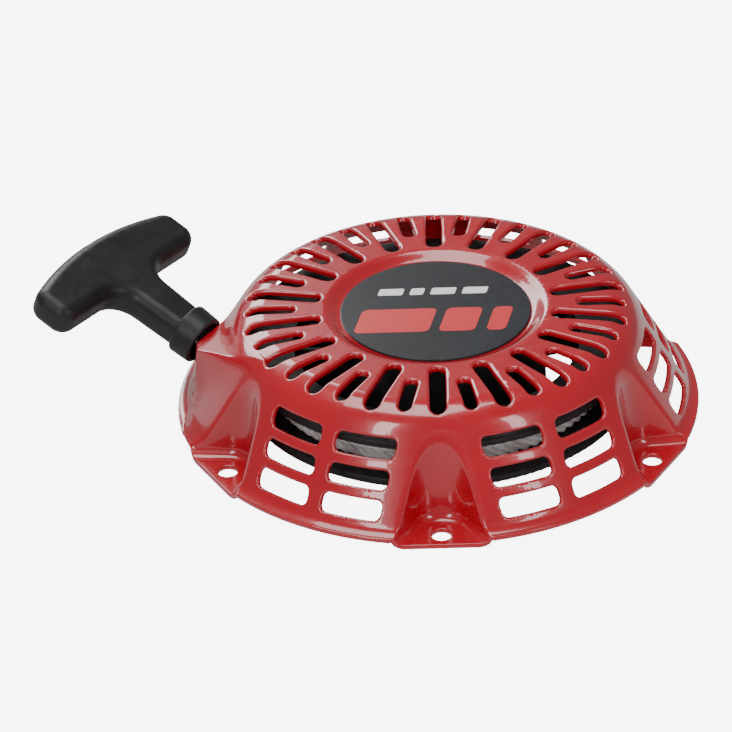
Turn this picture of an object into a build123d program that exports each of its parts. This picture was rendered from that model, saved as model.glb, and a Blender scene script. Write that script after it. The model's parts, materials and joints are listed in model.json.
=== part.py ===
from build123d import *
from math import acos, atan2, cos, degrees, hypot, radians, sin, sqrt, tan
import os

# Recoil starter assembly for a small engine. Millimetres, +Z up.
# The origin is the centre of the bolt circle on the mounting plane, +Z points out of the engine,
# one bolt tab is at -Y and the pull grip is on the -X side.

# ---- starter case: one deep drawn sheet ----
SHEET = 1.6
SEAM_AZ = 5.0
RIM_R = 95.0
RIM_TOP = 3.8
TOP_Z = 42.0
FLAT_R = 62.0
SHOULDER_R = 14.0
WALL_SLOPE = 60.0
FLARE_R = 6.0
BADGE_SEAT_Z = 39.2
BADGE_SEAT_R = 35.2
BELOW_RIM = -30.0
DISH_R = 39.8
DISH_FILLET = 2.2
TAB_COUNT = 6
TAB_CHORD = 93.7
BOLT_R = 87.3
BOLT_HOLE = 7.0
POCKET_NOSE_R = 8.3
POCKET_NOSE_AT = 83.4
POCKET_HALF_ANGLE = 34.0
RIDGE_FILLET = 2.0
INNER_RIDGE_FILLET = 0.8

# ---- badge ----
BADGE_R = 34.4
BADGE_T = 0.8
BADGE_EDGE = 0.3

# ---- cooling slots ----
SLOT_PITCH = 10.0
LONG_SLOT = (42.2, 69.4, 5.6)
SHORT_SLOT = (50.8, 68.5, 4.6)
LIP_DROP = 0.8
LIP_WALL = 1.2
SLOT_ROLL = 1.1
SIDE_SLOT_X = (2.9, 24.8)
SIDE_SLOT_ROWS = ((7.5, 13.8), (17.0, 23.0), (26.3, 32.8))
SIDE_SLOT_CORNER = 2.2
SIDE_SLOT_ROLL = 0.7

# ---- rope outlet on the case wall ----
OUTLET_END_AZ = 146.0
OUTLET_END_AT = 71.8
OUTLET_SIDE_AZ = 223.5
OUTLET_SIDE_AT = 68.4
OUTLET_TOP_AZ = 158.5
OUTLET_TOP_Z = 29.8
OUTLET_TOP_RISE = 0.246
OUTLET_FILLET = 3.2
OUTLET_CORNER = 4.2

# ---- rope guide ----
GUIDE_BORE = 7.4
GUIDE_SLEEVE_R = 5.2
GUIDE_FLANGE_R = 6.6
GUIDE_FLANGE_T = 1.4
GUIDE_REACH_IN = 2.0
GUIDE_MOUTH = 1.0
GUIDE_EDGE = 0.6
GUIDE_SEAT_GAP = 0.3

# ---- pull grip: collar end, outward direction and face direction ----
GRIP_AT = Vector(-84.2, 6.35, 24.95)
GRIP_OUT = Vector(-0.758, 0.534, 0.374).normalized()
GRIP_FACE = Vector(0.341, -0.164, 0.925)
GRIP_PLANE = Plane(origin=GRIP_AT, x_dir=GRIP_OUT.cross(GRIP_FACE), z_dir=GRIP_FACE)
GRIP_T = 12.6
GRIP_ROUND = 4.6
BAR_HALF = 40.0
BAR_IN = 35.5
BAR_OUT = 51.5
BAR_BOW = 7.0
STEM_HALF = (7.9, 9.2)
COLLAR = (0.6, 9.6)
COLLAR_R = 9.8
COLLAR_TAPER = 0.4
COLLAR_EDGE = 0.9
CUP_R = 7.9
CUP_DEPTH = 4.0
BAR_CORNER = 6.0
STEM_BLEND = 9.0
STEM_BORE = 5.4
KNOT_BORE = 9.4
KNOT_DEPTH = 17.0
FERRULE_T = 1.2
GRIP_KNOT = 8.6
REEL_KNOT = 7.6

# ---- rope reel ----
ROPE_D = 4.4
COIL_GAP = 0.15
REEL_R = 71.5
REEL_BOTTOM = 9.8
FLANGE_EDGE = 0.9
WEB_TOP = 13.0
UPPER_FLANGE = (25.5, 28.5)
CORE_R = 55.0
CORE_WALL = 3.0
DRUM_R = 38.0
DRUM_WALL = 2.0
DRUM_TOP = 36.6
WINDOW_R = (39.6, 50.4)
WINDOW_SPAN = 52.0
WINDOW_AZ = -6.0
HUB_R = 12.0
HUB_TOP = 18.0
ROPE_HOLE_AZ = 26.0
ROPE_HOLE_GAP = 0.4
RIB_T = 1.8
RIB_HEIGHT = 9.0
WOUND_R = 64.0

# ---- centre post, screw and ratchet stack ----
POST_R = 8.0
POST_BORE = 8.05
POST_FLANGE_R = 15.0
POST_FLANGE_T = 2.0
POST_BOTTOM = 9.3
POST_EDGE = 0.5
SCREW_R = 3.0
SCREW_TOP = 26.0
SCREW_HEAD_AF = 10.0
SCREW_HEAD = (0.5, 3.3)
SCREW_COLLAR_R = 6.6
SCREW_COLLAR_T = 0.8
WASHER_R = 8.5
WASHER = (3.4, 4.2)
PLATE = (4.3, 5.5)
PLATE_R = 25.5
PLATE_HUB_R = 7.0
PLATE_TURN = 24.0
PAWL = (5.8, 8.6)
PAWL_AT = 20.0
PAWL_SWING = 30.0
PAWL_PIN_R = 3.0
PAWL_PIN_BOTTOM = 5.7
PAWL_HUB_R = 5.4
PAWL_REACH = 15.0
PAWL_REST = -100.0
PEG_AT = 8.0
PEG_R = 1.4
PEG_BOTTOM = 4.4
PEG_SLOT = 3.8
RUN_FIT = 0.05
SPRING_WIRE = 0.45
SPRING_RING_R = 4.4
FRICTION_WIRE = 0.4
FRICTION_RING_R = 5.4

# ---- spiral recoil spring ----
STRIP_T = 0.7
STRIP = (18.6, 33.4)
SPIRAL_R = (9.3, 34.9)
SPIRAL_TURNS = 8
HOOK_NOTCH = 2.2


def polar(radius, azimuth, z=0.0):
    return Vector(radius * cos(radians(azimuth)), radius * sin(radians(azimuth)), z)


def crown(inset):
    """Solid under the drawn surface, set in by the given distance, and open to below the rim."""
    drop = radians(WALL_SLOPE)
    foot_r = FLAT_R + SHOULDER_R * sin(drop)
    foot_r += (TOP_Z - SHOULDER_R * (1 - cos(drop)) - RIM_TOP) / tan(drop)
    join_r = FLAT_R + (SHOULDER_R - inset) * sin(drop)
    low, wide = -20.0, 120.0
    with BuildPart() as form:
        for start, near, far in ((SEAM_AZ, 0, join_r), (0, join_r, wide)):
            upright = Plane(origin=(0, 0, 0), x_dir=polar(1, start), z_dir=polar(1, start - 90))
            with BuildSketch(upright) as section:
                with BuildLine():
                    dish = Polyline((-20, BADGE_SEAT_Z), (BADGE_SEAT_R, BADGE_SEAT_Z),
                                    (DISH_R, TOP_Z), (FLAT_R, TOP_Z))
                    shoulder = JernArc(dish @ 1, (1, 0), SHOULDER_R, -WALL_SLOPE)
                    Polyline(shoulder @ 1, (foot_r, RIM_TOP), (wide, RIM_TOP),
                             (wide, low), (-20, low), dish @ 0)
                make_face()
                for corner_r in (BADGE_SEAT_R, DISH_R):
                    fillet([v for v in section.vertices() if abs(v.X - corner_r) < 0.01], DISH_FILLET)
                fillet([v for v in section.vertices() if abs(v.X - foot_r) < 0.01], FLARE_R)
                if inset:
                    offset(amount=-inset)
                with Locations(((near + far) / 2, 20)):
                    Rectangle(far - near, 60, mode=Mode.INTERSECT)
            revolve(axis=Axis.Z)
    return form.part


def pocket_plan(grow):
    """Wedge plan of one bolt pocket, pointing at the axis from -Y, grown by a distance."""
    nose = POCKET_NOSE_R + grow
    lean = radians(POCKET_HALF_ANGLE)
    near_x, near_y = nose * cos(lean), -POCKET_NOSE_AT + nose * sin(lean)
    reach = 34.0
    far_x, far_y = near_x + reach * sin(lean), near_y - reach * cos(lean)
    with BuildSketch() as plan:
        with BuildLine():
            Polyline((-near_x, near_y), (-far_x, far_y), (far_x, far_y), (near_x, near_y))
            ThreePointArc((near_x, near_y), (0, -POCKET_NOSE_AT + nose), (-near_x, near_y))
        make_face()
    return plan.sketch


def outlet_tip(inset):
    """Plan point where the two faces of the rope outlet meet."""
    end_n, side_n = polar(1, OUTLET_END_AZ), polar(1, OUTLET_SIDE_AZ)
    end_d, side_d = OUTLET_END_AT - inset, OUTLET_SIDE_AT - inset
    cross = end_n.X * side_n.Y - end_n.Y * side_n.X
    tip_x = (end_d * side_n.Y - side_d * end_n.Y) / cross
    tip_y = (side_d * end_n.X - end_d * side_n.X) / cross
    return Vector(tip_x, tip_y)


def outlet(inset):
    """Wedge on the wall that carries the rope outlet, set in by a distance."""
    tip = outlet_tip(inset)
    end_way, side_way = polar(1, OUTLET_END_AZ - 90), polar(1, OUTLET_SIDE_AZ + 90)
    slope = (polar(OUTLET_TOP_RISE, OUTLET_TOP_AZ) + Vector(0, 0, 1)).normalized()
    top_at = outlet_tip(0) + Vector(0, 0, OUTLET_TOP_Z) - slope * inset
    with BuildPart() as form:
        with BuildSketch(Plane.XY.offset(4.5 - inset)):
            with BuildLine():
                Polyline(tip, tip + end_way * 44, (-50, 0), tip + side_way * 38, tip)
            make_face()
        extrude(amount=45)
        uprights = form.edges().filter_by(Axis.Z)
        corner = uprights.filter_by(lambda e: hypot(e.center().X - tip.X, e.center().Y - tip.Y) < 1)
        fillet(corner, OUTLET_CORNER - inset)
        split(bisect_by=Plane(origin=top_at, z_dir=slope), keep=Keep.BOTTOM)
        top_edges = form.faces().sort_by(Axis.Z)[-1].edges()
        outer_edges = [e for e in top_edges if hypot(e.center().X, e.center().Y) > 74 - inset]
        fillet(outer_edges, OUTLET_FILLET - inset)
    return form.part


def drawn_form(inset, pocket_floor, ridge_fillet):
    """Crown with the rope outlet added, the six bolt pockets pressed in and their ridges rounded."""
    with BuildPart() as form:
        add(crown(inset))
        add(outlet(inset))
        with BuildSketch(Plane.XY.offset(-8)):
            Circle(RIM_R + 5)
        extrude(amount=60, mode=Mode.INTERSECT)
        with BuildSketch(Plane.XY.offset(pocket_floor)):
            with PolarLocations(0, TAB_COUNT):
                add(pocket_plan(inset))
        extrude(amount=80, mode=Mode.SUBTRACT)
        cut = [e for e in form.edges(Select.LAST) if hypot(e.center().X, e.center().Y) < RIM_R]
        ridges = [e for e in cut if e.center().Z > 3 and abs(e.tangent_at(0.5).Z) < 0.999]
        fillet(in_order(e for e in ridges if e.geom_type != GeomType.CIRCLE), ridge_fillet)
    return form.part


def slot_plan(grow):
    """Plan of the ring of radial slots, grown by a distance."""
    with BuildSketch() as plan:
        for index in range(round(360 / SLOT_PITCH)):
            start, end, width = SHORT_SLOT if index % 2 else LONG_SLOT
            with PolarLocations((start + end) / 2, 1, start_angle=-90 + SLOT_PITCH * index):
                SlotOverall(end - start + 2 * grow, width + 2 * grow)
    return plan.sketch


def crown_height(radius):
    """Height of the drawn top and shoulder at a radius."""
    if radius <= FLAT_R:
        return TOP_Z
    return TOP_Z - SHOULDER_R + sqrt(max(SHOULDER_R ** 2 - (radius - FLAT_R) ** 2, 0))


def wall_radius(height):
    """Radius of the sloping side wall at a height."""
    drop = radians(WALL_SLOPE)
    top_r = FLAT_R + SHOULDER_R * sin(drop)
    top_z = TOP_Z - SHOULDER_R * (1 - cos(drop))
    return top_r + (top_z - height) / tan(drop)


def in_order(edges):
    """Edges in one fixed order, lowest first, so that each build gives the same rounded solid."""
    def place(edge):
        middle = edge.center()
        return round(middle.Z, 2), round(middle.X, 2), round(middle.Y, 2)

    return sorted(edges, key=place)


def on_top(edge):
    """True for an edge that lies on the outer drawn top or shoulder."""
    middle = edge @ 0.5
    return abs(middle.Z - crown_height(hypot(middle.X, middle.Y))) < 0.02


def on_wall(edge):
    """True for an edge that lies on the outer sloping wall."""
    middle = edge @ 0.5
    return abs(hypot(middle.X, middle.Y) - wall_radius(middle.Z)) < 0.02


def ring(r_in, r_out, z_low, z_high):
    """Plain ring about the reel axis."""
    with BuildPart() as form:
        with BuildSketch(Plane.XY.offset(z_low)):
            Circle(r_out)
            if r_in:
                Circle(r_in, mode=Mode.SUBTRACT)
        extrude(amount=z_high - z_low)
    return form.part


def save(part, name):
    part.label = name
    export_step(part, f"parts/{name}.step")


os.makedirs("parts", exist_ok=True)

# ======== starter case ========
outer = drawn_form(0, SHEET, RIDGE_FILLET)
inner = drawn_form(SHEET, BELOW_RIM, INNER_RIDGE_FILLET)
with BuildPart() as lips:
    with BuildSketch(Plane.XY.offset(30)):
        add(slot_plan(LIP_WALL))
    extrude(amount=20)
    add(crown(SHEET), mode=Mode.INTERSECT)
    add(crown(SHEET + LIP_DROP), mode=Mode.SUBTRACT)

end_n = polar(1, OUTLET_END_AZ)
GUIDE_AT = GRIP_AT - GRIP_PLANE.y_dir * ((GRIP_AT.dot(end_n) - OUTLET_END_AT) / GRIP_PLANE.y_dir.dot(end_n))
GUIDE_PLANE = Plane(origin=GUIDE_AT, x_dir=polar(1, OUTLET_END_AZ + 90), z_dir=end_n)

with BuildPart() as starter_case:
    with BuildSketch():
        Circle(RIM_R)
        RegularPolygon(TAB_CHORD, TAB_COUNT, major_radius=False, mode=Mode.INTERSECT)
        with PolarLocations(BOLT_R, TAB_COUNT, start_angle=-90):
            Circle(BOLT_HOLE / 2, mode=Mode.SUBTRACT)
    extrude(amount=60)
    add(outer, mode=Mode.INTERSECT)
    add(inner, mode=Mode.SUBTRACT)
    side_planes = [Plane(origin=polar(66, azimuth), x_dir=polar(1, azimuth + 90), z_dir=polar(1, azimuth))
                   for azimuth in range(-120, 180, 60)]
    with BuildSketch(*side_planes):
        near, far = SIDE_SLOT_X
        for low, high in SIDE_SLOT_ROWS:
            middle_x, middle_z = (near + far) / 2, (low + high) / 2
            with Locations((middle_x, middle_z), (-middle_x, middle_z)):
                RectangleRounded(far - near, high - low, SIDE_SLOT_CORNER)
    extrude(amount=40, mode=Mode.SUBTRACT)
    fillet(in_order(e for e in starter_case.edges(Select.LAST) if on_wall(e)), SIDE_SLOT_ROLL)
    add(lips.part)
    with BuildSketch(Plane.XY.offset(30)):
        add(slot_plan(0))
    extrude(amount=20, mode=Mode.SUBTRACT)
    fillet(in_order(e for e in starter_case.edges(Select.LAST) if on_top(e)), SLOT_ROLL)
    with BuildSketch(GUIDE_PLANE.offset(-8)):
        Circle(GUIDE_SLEEVE_R + RUN_FIT)
    extrude(amount=16, mode=Mode.SUBTRACT)
    with BuildSketch(GUIDE_PLANE):
        Circle(GUIDE_FLANGE_R + GUIDE_SEAT_GAP)
    extrude(amount=8, mode=Mode.SUBTRACT)
save(starter_case.part, "starter_case")

with BuildPart() as case_badge:
    with BuildSketch(Plane.XY.offset(BADGE_SEAT_Z)):
        Circle(BADGE_R)
    extrude(amount=BADGE_T)
    fillet(case_badge.faces().sort_by(Axis.Z)[-1].edges(), BADGE_EDGE)
save(case_badge.part, "case_badge")

# ======== rope guide: flanged bush in the outlet wall ========
with BuildPart() as rope_guide:
    with BuildSketch(GUIDE_PLANE.offset(-SHEET - GUIDE_REACH_IN)):
        Circle(GUIDE_SLEEVE_R)
    extrude(amount=SHEET + GUIDE_REACH_IN)
    with BuildSketch(GUIDE_PLANE):
        Circle(GUIDE_FLANGE_R)
    extrude(amount=GUIDE_FLANGE_T)
    with BuildSketch(GUIDE_PLANE.offset(-10)):
        Circle(GUIDE_BORE / 2)
    extrude(amount=20, mode=Mode.SUBTRACT)
    circles = rope_guide.edges().filter_by(GeomType.CIRCLE)
    fillet(circles.filter_by(lambda e: abs(e.radius - GUIDE_BORE / 2) < 0.01), GUIDE_MOUTH)
    circles = rope_guide.edges().filter_by(GeomType.CIRCLE)
    rims = circles.filter_by(lambda e: abs(e.radius - GUIDE_FLANGE_R) < 0.01)
    fillet(rims.sort_by(Axis(GUIDE_AT, end_n))[-1], GUIDE_EDGE)
save(rope_guide.part, "rope_guide")

# ======== centre post, screw and washer ========
post_top = BADGE_SEAT_Z - SHEET
with BuildPart() as center_post:
    add(ring(0, POST_FLANGE_R, post_top - POST_FLANGE_T, post_top))
    add(ring(0, POST_R, POST_BOTTOM, post_top - POST_FLANGE_T))
    fillet(center_post.edges().filter_by(GeomType.CIRCLE).sort_by(Axis.Z)[0], POST_EDGE)
    with BuildSketch(Plane.XY.offset(POST_BOTTOM - 1)):
        Circle(SCREW_R + RUN_FIT)
    extrude(amount=SCREW_TOP - POST_BOTTOM + 2, mode=Mode.SUBTRACT)
    with BuildSketch(Plane.XY.offset(HUB_TOP)):
        with Locations((0, POST_R)):
            Rectangle(HOOK_NOTCH, 3.0)
    extrude(amount=post_top - POST_FLANGE_T - HUB_TOP, mode=Mode.SUBTRACT)
save(center_post.part, "center_post")

with BuildPart() as center_screw:
    with BuildSketch(Plane.XY.offset(SCREW_HEAD[0])):
        RegularPolygon(SCREW_HEAD_AF / 2, 6, major_radius=False)
    extrude(amount=SCREW_HEAD[1] - SCREW_HEAD[0] - SCREW_COLLAR_T)
    add(ring(0, SCREW_COLLAR_R, SCREW_HEAD[1] - SCREW_COLLAR_T, SCREW_HEAD[1]))
    add(ring(0, SCREW_R, SCREW_HEAD[1], SCREW_TOP))
    chamfer(center_screw.edges().filter_by(GeomType.CIRCLE).sort_by(Axis.Z)[-1], 0.6)
save(center_screw.part, "center_screw")

with BuildPart() as screw_washer:
    add(ring(SCREW_R + RUN_FIT, WASHER_R, *WASHER))
    low_rims = screw_washer.edges().filter_by(GeomType.CIRCLE).group_by(Axis.Z)[0]
    chamfer(low_rims.sort_by(SortBy.RADIUS)[-1], 0.2)
save(screw_washer.part, "screw_washer")

# ======== rope reel ========
ROPE_Z = (WEB_TOP + UPPER_FLANGE[0]) / 2
pawl_azimuths = (0, 180)
with BuildPart() as rope_reel:
    add(ring(0, REEL_R, REEL_BOTTOM, WEB_TOP))
    add(ring(CORE_R - CORE_WALL, CORE_R, WEB_TOP, UPPER_FLANGE[0]))
    add(ring(CORE_R - CORE_WALL, REEL_R, *UPPER_FLANGE))
    add(ring(DRUM_R - DRUM_WALL, DRUM_R, WEB_TOP, DRUM_TOP))
    add(ring(0, HUB_R, WEB_TOP, HUB_TOP))
    for height in (REEL_BOTTOM, WEB_TOP, *UPPER_FLANGE):
        circles = rope_reel.edges().filter_by(GeomType.CIRCLE)
        rims = circles.filter_by(lambda e: abs(e.radius - REEL_R) < 0.01)
        fillet(rims.filter_by(lambda e: abs(e.center().Z - height) < 0.01), FLANGE_EDGE)
    rib_azimuths = [WINDOW_AZ + 60 + 120 * sector + step for sector in range(3) for step in (-20, 0, 20)]
    rib_length = CORE_R - CORE_WALL - DRUM_R
    with BuildSketch(Plane.XY.offset(WEB_TOP)):
        for azimuth in rib_azimuths:
            with Locations(Location(polar((DRUM_R + CORE_R - CORE_WALL) / 2, azimuth), (0, 0, azimuth))):
                Rectangle(rib_length + 1, RIB_T)
    extrude(amount=RIB_HEIGHT)
    with BuildSketch(Plane.XY.offset(REEL_BOTTOM - 1)) as window_plan:
        for sector in range(3):
            middle = WINDOW_AZ + 120 * sector
            half = WINDOW_SPAN / 2
            with BuildLine():
                inner_arc = CenterArc((0, 0), WINDOW_R[0], middle - half, WINDOW_SPAN)
                outer_arc = CenterArc((0, 0), WINDOW_R[1], middle - half, WINDOW_SPAN)
                Line(inner_arc @ 0, outer_arc @ 0)
                Line(inner_arc @ 1, outer_arc @ 1)
            make_face()
        fillet(window_plan.vertices(), 2.0)
    extrude(amount=WEB_TOP - REEL_BOTTOM + 2, mode=Mode.SUBTRACT)
    with BuildSketch(Plane.XY.offset(PAWL_PIN_BOTTOM)):
        for azimuth in pawl_azimuths:
            with Locations(polar(PAWL_AT, azimuth)):
                Circle(PAWL_PIN_R)
    extrude(amount=REEL_BOTTOM - PAWL_PIN_BOTTOM)
    with BuildSketch(Plane.XY.offset(REEL_BOTTOM - 1)):
        Circle(POST_BORE)
    extrude(amount=HUB_TOP - REEL_BOTTOM + 2, mode=Mode.SUBTRACT)
    rope_hole = Plane(origin=polar(CORE_R + 2, ROPE_HOLE_AZ, ROPE_Z), z_dir=polar(-1, ROPE_HOLE_AZ))
    with BuildSketch(rope_hole):
        Circle(ROPE_D / 2 + ROPE_HOLE_GAP)
    extrude(amount=CORE_WALL + 4, mode=Mode.SUBTRACT)
    with BuildSketch(Plane.XY.offset(STRIP[0] - 1.2)):
        with Locations((0, DRUM_R - DRUM_WALL / 2)):
            Rectangle(HOOK_NOTCH, DRUM_WALL + 2)
    extrude(amount=DRUM_TOP - STRIP[0] + 2, mode=Mode.SUBTRACT)
save(rope_reel.part, "rope_reel")

# ======== spiral recoil spring ========
def spiral_point(turns, offset):
    """Plan point on the spiral, a number of turns out from its inner end, moved sideways by an offset."""
    start, end = SPIRAL_R
    return polar(start + (end - start) * turns / SPIRAL_TURNS + offset, 90 + 360 * (turns - SPIRAL_TURNS))


with BuildPart() as recoil_spring:
    with BuildSketch(Plane.XY.offset(STRIP[0])):
        samples = [step / 12 for step in range(SPIRAL_TURNS * 12 + 1)]
        with BuildLine():
            near_side = Spline([spiral_point(turns, -STRIP_T / 2) for turns in samples])
            far_side = Spline([spiral_point(turns, STRIP_T / 2) for turns in samples])
            Line(near_side @ 0, far_side @ 0)
            Line(near_side @ 1, far_side @ 1)
        make_face()
        for near_end, far_end in ((POST_R - 1.0, SPIRAL_R[0]), (SPIRAL_R[1], DRUM_R)):
            with Locations((0, (near_end + far_end) / 2)):
                Rectangle(STRIP_T, far_end - near_end)
    extrude(amount=STRIP[1] - STRIP[0])
save(recoil_spring.part, "recoil_spring")


# ======== ratchet pawls, their springs and the cam plate ========
def pawl_frame(azimuth, height):
    """Plane at a pawl pin, with x pointing out from the reel axis."""
    return Plane(origin=polar(PAWL_AT, azimuth, height), x_dir=polar(1, azimuth), z_dir=(0, 0, 1))


def pawl(azimuth):
    """Ratchet lever with a pin hole, a square nose and a peg that rides in the cam plate."""
    side = PAWL_REST + 90
    nose = polar(PAWL_REACH, PAWL_REST)
    with BuildPart() as form:
        with BuildSketch(pawl_frame(azimuth, PAWL[0])) as plan:
            Circle(PAWL_HUB_R)
            with BuildLine():
                Polyline(polar(-PAWL_HUB_R, side), nose - polar(2.4, side), nose + polar(3.2, side),
                         polar(PAWL_HUB_R, side), polar(-PAWL_HUB_R, side))
            make_face()
            nose_corners = plan.vertices().sort_by_distance(nose)[:2]
            fillet(nose_corners, 0.8)
            Circle(PAWL_PIN_R + RUN_FIT, mode=Mode.SUBTRACT)
        extrude(amount=PAWL[1] - PAWL[0])
        with BuildSketch(pawl_frame(azimuth, PEG_BOTTOM)):
            with Locations(polar(PEG_AT, PAWL_REST)):
                Circle(PEG_R)
        extrude(amount=PAWL[0] - PEG_BOTTOM)
    return form.part


def wire_part(path, wire_r):
    """Round wire swept along a path."""
    with BuildPart() as form:
        with BuildSketch(Plane(origin=path @ 0, z_dir=path % 0)):
            Circle(wire_r)
        sweep(path=path)
    return form.part


def pawl_spring(azimuth):
    """Three quarters of a turn of wire around the pawl pin, with a straight leg at each end."""
    with BuildLine(pawl_frame(azimuth, (PAWL[1] + REEL_BOTTOM) / 2)) as path:
        Line((SPRING_RING_R, -4.0), (SPRING_RING_R, 0))
        CenterArc((0, 0), SPRING_RING_R, 0, 270)
        Line((0, -SPRING_RING_R), (3.0, -SPRING_RING_R))
    return wire_part(path.wires()[0], SPRING_WIRE)


def peg_track(azimuth, share):
    """Where a pawl's peg sits in the cam plate once the plate has made a share of its turn."""
    peg = polar(PAWL_AT, 0) + polar(PEG_AT, PAWL_REST + PAWL_SWING * share)
    turn = azimuth - PLATE_TURN * share
    return polar(hypot(peg.X, peg.Y), degrees(atan2(peg.Y, peg.X)) + turn)


for name, azimuth in zip("ab", pawl_azimuths):
    save(pawl(azimuth), f"pawl_{name}")
    save(pawl_spring(azimuth), f"pawl_spring_{name}")

with BuildPart() as ratchet_plate:
    add(ring(0, PLATE_R, *PLATE))
    add(ring(0, PLATE_HUB_R, PLATE[1], POST_BOTTOM - 0.9))
    with BuildSketch(Plane.XY.offset(PLATE[0] - 1)):
        for azimuth in pawl_azimuths:
            with BuildLine(mode=Mode.PRIVATE):
                track = ThreePointArc(peg_track(azimuth, 0), peg_track(azimuth, 0.5), peg_track(azimuth, 1))
            SlotArc(track, PEG_SLOT)
    extrude(amount=PLATE[1] - PLATE[0] + 2, mode=Mode.SUBTRACT)
    with BuildSketch(Plane.XY.offset(PLATE[0] - 1)):
        Circle(SCREW_R + 0.3)
    extrude(amount=10, mode=Mode.SUBTRACT)
    circles = ratchet_plate.edges().filter_by(GeomType.CIRCLE)
    chamfer(circles.filter_by(lambda e: abs(e.radius - PLATE_R) < 0.01), 0.25)
save(ratchet_plate.part, "ratchet_plate")

with BuildPart() as friction_spring:
    with BuildSketch(Plane.XZ):
        with Locations((FRICTION_RING_R, POST_BOTTOM - SPRING_WIRE)):
            Circle(FRICTION_WIRE)
    revolve(axis=Axis.Z, revolution_arc=320)
save(friction_spring.part, "friction_spring")

# ======== rope ========
LINE_R = WOUND_R - ROPE_D / 2

with BuildPart() as wound_rope:
    with BuildSketch(Plane.XZ) as coil_section:
        low, high = WEB_TOP + COIL_GAP, UPPER_FLANGE[0] - COIL_GAP
        inner_r = CORE_R + COIL_GAP
        with Locations(((inner_r + LINE_R) / 2, (low + high) / 2)):
            Rectangle(LINE_R - inner_r, high - low)
        row_pitch = (high - low - ROPE_D) / 2
        with Locations(*[(LINE_R, low + ROPE_D / 2 + row_pitch * row) for row in range(3)]):
            Circle(ROPE_D / 2)
    revolve(axis=Axis.Z)
save(wound_rope.part, "wound_rope")

reach = hypot(GUIDE_AT.X, GUIDE_AT.Y)
leave_azimuth = degrees(atan2(GUIDE_AT.Y, GUIDE_AT.X)) + degrees(acos(LINE_R / reach))
rope_start = polar(LINE_R, leave_azimuth, ROPE_Z)
knot_seat = BAR_OUT + BAR_BOW - KNOT_DEPTH
rope_end = GRIP_PLANE.from_local_coords(Vector(0, knot_seat + FERRULE_T, 0))
clear_run = sqrt((WOUND_R + ROPE_D / 2 + 0.2) ** 2 - LINE_R ** 2)
lead_start = rope_start + (GUIDE_AT - rope_start).normalized() * clear_run
with BuildLine() as rope_path:
    FilletPolyline(lead_start, GUIDE_AT, rope_end, radius=8)
save(wire_part(rope_path.wires()[0], ROPE_D / 2 - 0.1), "rope_lead")


def knot(center, along, size):
    """Stopper knot: a barrel along the rope with two loops around it."""
    place = Plane(origin=center, z_dir=along).location
    with BuildPart() as form:
        with Locations(place):
            Cylinder(size * 0.32, size * 0.84)
        with Locations(place * Pos(0, 0, size * 0.17), place * Pos(0, 0, size * -0.17)):
            Torus(size * 0.29, size * 0.2)
    return form.part


inside_core = CORE_R - CORE_WALL - REEL_KNOT * 0.55
save(knot(polar(inside_core, ROPE_HOLE_AZ, ROPE_Z), polar(1, ROPE_HOLE_AZ), REEL_KNOT), "reel_knot")

# ======== pull grip ========
grip_axis = Axis(GRIP_AT, GRIP_PLANE.y_dir)
with BuildPart() as starter_grip:
    with BuildSketch(GRIP_PLANE.offset(-GRIP_T / 2)) as outline:
        with BuildLine():
            ThreePointArc((-BAR_HALF, BAR_OUT), (0, BAR_OUT + BAR_BOW), (BAR_HALF, BAR_OUT))
            Polyline((BAR_HALF, BAR_OUT), (BAR_HALF, BAR_IN),
                     (STEM_HALF[1], BAR_IN), (STEM_HALF[0], COLLAR[1] - 1),
                     (-STEM_HALF[0], COLLAR[1] - 1), (-STEM_HALF[1], BAR_IN),
                     (-BAR_HALF, BAR_IN), (-BAR_HALF, BAR_OUT))
        make_face()
        fillet([v for v in outline.vertices() if abs(v.X) > BAR_HALF - 1], BAR_CORNER)
        fillet([v for v in outline.vertices() if abs(abs(v.X) - STEM_HALF[1]) < 0.01], STEM_BLEND)
    extrude(amount=GRIP_T)
    faces = starter_grip.faces().sort_by(Axis(GRIP_AT, GRIP_PLANE.z_dir))
    rims = faces[0].edges() + faces[-1].edges()
    fillet([e for e in rims if GRIP_PLANE.to_local_coords(e.center()).Y > COLLAR[1]], GRIP_ROUND)
    with BuildSketch(GRIP_PLANE) as collar_section:
        with BuildLine():
            Polyline((0, COLLAR[0]), (COLLAR_R - COLLAR_TAPER, COLLAR[0]),
                     (COLLAR_R, COLLAR[1]), (0, COLLAR[1]), (0, COLLAR[0]))
        make_face()
        fillet([v for v in collar_section.vertices() if v.X > 5], COLLAR_EDGE)
    revolve(axis=grip_axis)
    for bore_r, low, high in ((CUP_R, COLLAR[0] - 1, CUP_DEPTH), (STEM_BORE / 2, 0, BAR_OUT),
                              (KNOT_BORE / 2, knot_seat, BAR_OUT + BAR_BOW + 2)):
        with BuildSketch(Plane(origin=GRIP_AT + GRIP_PLANE.y_dir * low, z_dir=GRIP_PLANE.y_dir)):
            Circle(bore_r)
        extrude(amount=high - low, mode=Mode.SUBTRACT)
save(starter_grip.part, "starter_grip")

with BuildPart() as grip_ferrule:
    with BuildSketch(Plane(origin=GRIP_AT + GRIP_PLANE.y_dir * knot_seat, z_dir=GRIP_PLANE.y_dir)):
        Circle(KNOT_BORE / 2 - 0.1)
        Circle(ROPE_D / 2 + 0.1, mode=Mode.SUBTRACT)
    extrude(amount=FERRULE_T)
save(grip_ferrule.part, "grip_ferrule")

knot_middle = knot_seat + FERRULE_T + GRIP_KNOT * 0.55
save(knot(GRIP_AT + GRIP_PLANE.y_dir * knot_middle, GRIP_PLANE.y_dir, GRIP_KNOT), "grip_knot")
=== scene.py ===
import json
from functools import partial
from math import cos, pi, radians, sin, tan

import bpy
import numpy as np
import mathutils.geometry
from mathutils import Matrix, Vector


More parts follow.
